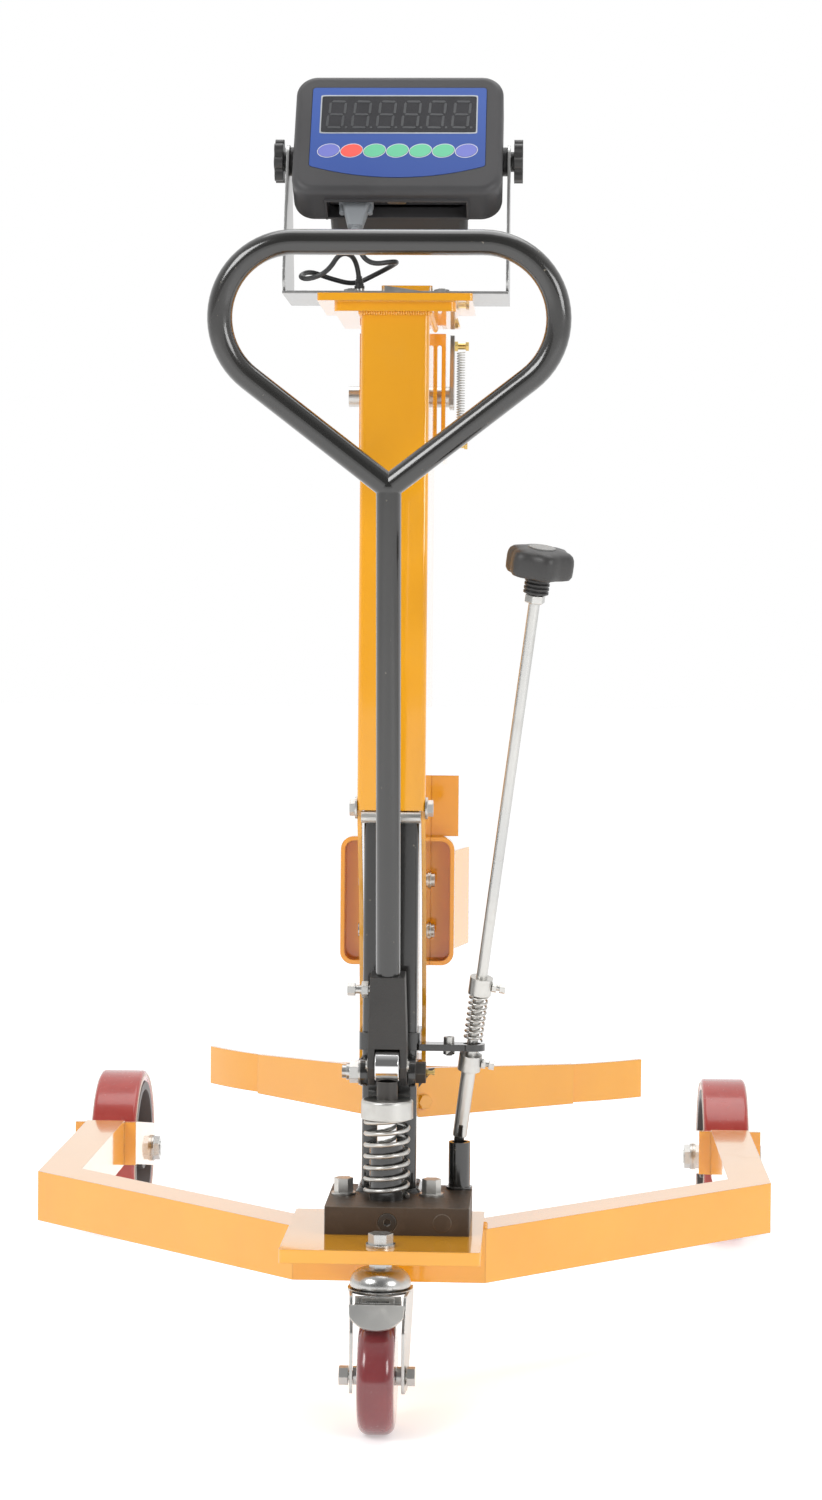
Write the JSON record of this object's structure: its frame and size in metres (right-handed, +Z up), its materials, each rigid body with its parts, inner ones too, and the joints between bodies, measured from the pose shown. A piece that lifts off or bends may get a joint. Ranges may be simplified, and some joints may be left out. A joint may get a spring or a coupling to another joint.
{
  "type": "drum lifter scale",
  "caption": "Hydraulic drum lifter with a weighing indicator on top: U-shaped wheeled chassis, sliding mast with beak grip and curved cradle, foot-pump linkage and folding handle.",
  "frame": {"origin": "centre of the bounding box at floor level, between the legs", "axes": "+Z up the mast; +X to the right of a person standing at the handle; +Y ahead of that person, towards the drum and the front wheels"},
  "size_m": [0.788, 1.05, 1.2011],
  "materials": {
    "yellow_paint": "glossy powder coat",
    "black_paint": "gloss",
    "pump_block": "worn black finish",
    "zinc": "zinc plated",
    "polished_steel": "polished",
    "stainless": "satin",
    "dark_steel": "blackened",
    "grey_paint": "satin",
    "cast_black": "textured black paint",
    "red_tyre": "glossy polyurethane",
    "wheel_core": "painted",
    "black_plastic": "moulded",
    "housing_plastic": "fine texture",
    "panel_blue": "printed film",
    "display": "clear window over a segment display",
    "key_violet": "printed key",
    "key_red": "printed key",
    "key_green": "printed key",
    "cable_rubber": "smooth",
    "plug_grey": "moulded",
    "belt": "fabric-backed strip",
    "bearing_nylon": "moulded",
    "sealed_electronics": "circuit board and battery",
    "cell_aluminium": "machined"
  },
  "bodies": {
    "chassis": {"rear_frame": "yellow_paint", "left_leg": "yellow_paint", "right_leg": "yellow_paint", "pump_block": "pump_block", "chassis_fasteners": "dark_steel", "pump_tubes": "black_paint", "inner_mast": "black_paint", "lift_cylinder": "black_paint", "axle_bolts": "zinc", "release_arm": "black_paint", "caster_mount": "zinc"},
    "left_front_wheel": {"left_wheel_core": "wheel_core", "left_wheel_tread": "red_tyre"},
    "right_front_wheel": {"right_wheel_core": "wheel_core", "right_wheel_tread": "red_tyre"},
    "caster_swivel": {"caster_fork": "zinc", "caster_axle": "zinc"},
    "caster_roll": {"caster_wheel": "red_tyre"},
    "caster_brake": {"brake_pedal": "zinc"},
    "piston": {"pump_piston": "dark_steel", "spring_cap": "zinc", "pump_spring": "zinc"},
    "release": {"release_rod": "zinc", "release_spring": "zinc", "star_knob": "black_plastic"},
    "handle": {"handle_socket": "cast_black", "handle_tube": "black_paint", "handle_fasteners": "zinc"},
    "roller": {"drive_roller": "polished_steel"},
    "lift": {"lift_mast": "yellow_paint", "mast_head": "yellow_paint", "lift_ram": "polished_steel", "guide_pads": "bearing_nylon", "carriage_pans": "yellow_paint", "lift_fasteners": "zinc", "cradle_hanger": "yellow_paint", "grip_housing": "yellow_paint", "scale_bracket": "stainless", "load_cell": "cell_aluminium", "signal_cable": "cable_rubber"},
    "cradle": {"brace_plate": "yellow_paint", "belt_band": "yellow_paint"},
    "jaw": {"beak_jaw": "zinc", "jaw_lever": "zinc", "jaw_spring": "zinc"},
    "indicator": {"front_housing": "housing_plastic", "rear_housing": "housing_plastic", "key_panel": "panel_blue", "display_window": "display", "electronics": "sealed_electronics", "cable_plug": "plug_grey"},
    "left_knob": {"left_tilt_knob": "black_plastic"},
    "right_knob": {"right_tilt_knob": "black_plastic"},
    "key_1_button": {"key_1": "key_violet"},
    "key_2_button": {"key_2": "key_red"},
    "key_3_button": {"key_3": "key_green"},
    "key_4_button": {"key_4": "key_green"},
    "key_5_button": {"key_5": "key_green"},
    "key_6_button": {"key_6": "key_green"},
    "key_7_button": {"key_7": "key_violet"}
  },
  "joints": [
    {"name": "lift_raise", "type": "slide", "parent": "chassis", "child": "lift", "axis": [0, 0, 1], "range_m": [0, 0.4]},
    {"name": "handle_pump", "type": "hinge", "parent": "chassis", "child": "handle", "pos_m": [0, -0.333, 0.293], "axis": [1, 0, 0], "range_deg": [0, 45], "stiffness_Nm_per_rad": 15, "springref_deg": -20.05},
    {"name": "piston_stroke", "type": "slide", "parent": "chassis", "child": "piston", "axis": [0, 0, -1], "range_m": [0, 0.0169], "deforming": ["pump_spring"]},
    {"name": "roller_spin", "type": "hinge", "parent": "handle", "child": "roller", "pos_m": [0, -0.353, 0.302], "axis": [1, 0, 0], "continuous": true},
    {"name": "release_turn", "type": "hinge", "parent": "chassis", "child": "release", "pos_m": [0.064, -0.293, 0.23], "axis": [0.1275, -0.2069, 0.97], "range_deg": [0, 90]},
    {"name": "caster_swivel_turn", "type": "hinge", "parent": "chassis", "child": "caster_swivel", "pos_m": [0, -0.443, 0.12], "axis": [0, 0, 1], "continuous": true},
    {"name": "caster_wheel_spin", "type": "hinge", "parent": "caster_swivel", "child": "caster_roll", "pos_m": [0, -0.475, 0.05], "axis": [1, 0, 0], "continuous": true},
    {"name": "brake_press", "type": "hinge", "parent": "caster_swivel", "child": "caster_brake", "pos_m": [0, -0.471, 0.109], "axis": [1, 0, 0], "range_deg": [0, 7]},
    {"name": "left_wheel_spin", "type": "hinge", "parent": "chassis", "child": "left_front_wheel", "pos_m": [-0.349, 0.435, 0.09], "axis": [1, 0, 0], "continuous": true},
    {"name": "right_wheel_spin", "type": "hinge", "parent": "chassis", "child": "right_front_wheel", "pos_m": [0.349, 0.435, 0.09], "axis": [1, 0, 0], "continuous": true},
    {"name": "cradle_swing", "type": "hinge", "parent": "lift", "child": "cradle", "pos_m": [0, -0.203, 0.232], "axis": [0, 0, 1], "range_deg": [-6, 19]},
    {"name": "jaw_open", "type": "hinge", "parent": "lift", "child": "jaw", "pos_m": [0, -0.142, 0.919], "axis": [1, 0, 0], "range_deg": [0, 25], "stiffness_Nm_per_rad": 2, "springref_deg": -22.92, "deforming": ["jaw_spring"]},
    {"name": "indicator_tilt", "type": "hinge", "parent": "lift", "child": "indicator", "pos_m": [0, -0.28, 1.122], "axis": [1, 0, 0], "range_deg": [-25, 30], "deforming": ["signal_cable"]},
    {"name": "left_knob_turn", "type": "hinge", "parent": "indicator", "child": "left_knob", "pos_m": [-0.1076, -0.28, 1.122], "axis": [-1, 0, 0], "range_deg": [0, 270]},
    {"name": "right_knob_turn", "type": "hinge", "parent": "indicator", "child": "right_knob", "pos_m": [0.1076, -0.28, 1.122], "axis": [1, 0, 0], "range_deg": [0, 270]},
    {"name": "key_1_press", "type": "slide", "parent": "indicator", "child": "key_1_button", "axis": [0, 0.866, -0.5], "range_m": [0, 0.0004], "stiffness_N_per_m": 500},
    {"name": "key_2_press", "type": "slide", "parent": "indicator", "child": "key_2_button", "axis": [0, 0.866, -0.5], "range_m": [0, 0.0004], "stiffness_N_per_m": 500},
    {"name": "key_3_press", "type": "slide", "parent": "indicator", "child": "key_3_button", "axis": [0, 0.866, -0.5], "range_m": [0, 0.0004], "stiffness_N_per_m": 500},
    {"name": "key_4_press", "type": "slide", "parent": "indicator", "child": "key_4_button", "axis": [0, 0.866, -0.5], "range_m": [0, 0.0004], "stiffness_N_per_m": 500},
    {"name": "key_5_press", "type": "slide", "parent": "indicator", "child": "key_5_button", "axis": [0, 0.866, -0.5], "range_m": [0, 0.0004], "stiffness_N_per_m": 500},
    {"name": "key_6_press", "type": "slide", "parent": "indicator", "child": "key_6_button", "axis": [0, 0.866, -0.5], "range_m": [0, 0.0004], "stiffness_N_per_m": 500},
    {"name": "key_7_press", "type": "slide", "parent": "indicator", "child": "key_7_button", "axis": [0, 0.866, -0.5], "range_m": [0, 0.0004], "stiffness_N_per_m": 500}
  ],
  "couplings": [
    {"joint": "piston_stroke", "follows": "handle_pump", "m_per_rad": 0.02138}
  ]
}
